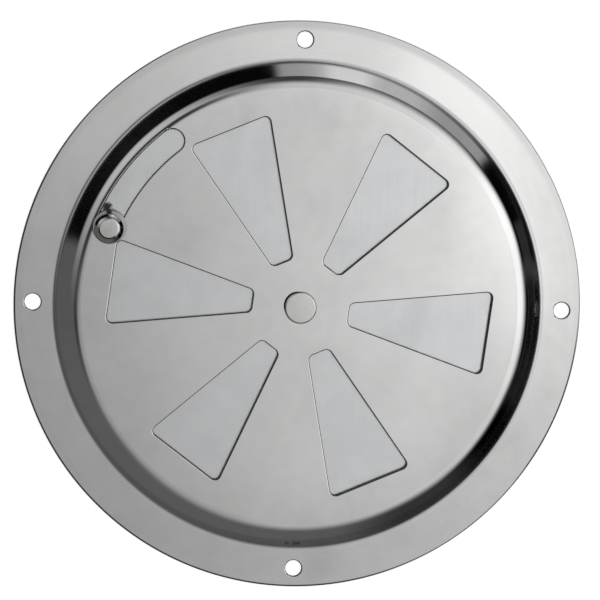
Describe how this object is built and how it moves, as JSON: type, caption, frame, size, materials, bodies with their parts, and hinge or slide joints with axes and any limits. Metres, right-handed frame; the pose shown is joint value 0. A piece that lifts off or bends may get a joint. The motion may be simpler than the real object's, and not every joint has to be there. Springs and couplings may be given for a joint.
{
  "type": "butterfly vent",
  "caption": "Round pressed steel ventilator with a raised face of radial windows and a turning shutter behind it, worked by a knob in a curved slot.",
  "frame": {"origin": "centre of the flange's back face, which goes against the bulkhead", "axes": "+Z out of the front, along the shutter's pivot; +X and +Y through two of the screw holes"},
  "size_m": [0.127, 0.127, 0.0159],
  "materials": {
    "face_steel": "stainless sheet, satin polished on the front, with faint mottling",
    "shutter_steel": "stainless sheet, mill bright with faint rolling lines",
    "rivet_steel": "stainless, matt flat head",
    "knob_steel": "turned stainless, polished",
    "washer_steel": "stainless, plain stamped",
    "spring_steel": "spring steel, dull",
    "nylon": "natural nylon"
  },
  "bodies": {
    "face": {"face_plate": "face_steel", "pivot_rivet": "rivet_steel", "bearing_washer": "nylon", "spring_washer": "spring_steel", "pivot_washer": "washer_steel"},
    "damper": {"shutter": "shutter_steel", "knob": "knob_steel", "knob_washer": "washer_steel", "backing_washer": "washer_steel"}
  },
  "joints": [
    {"name": "shutter_turn", "type": "hinge", "parent": "face", "child": "damper", "pos_m": [0, 0, 0.00355], "axis": [0, 0, 1], "range_deg": [-30, 0]}
  ]
}
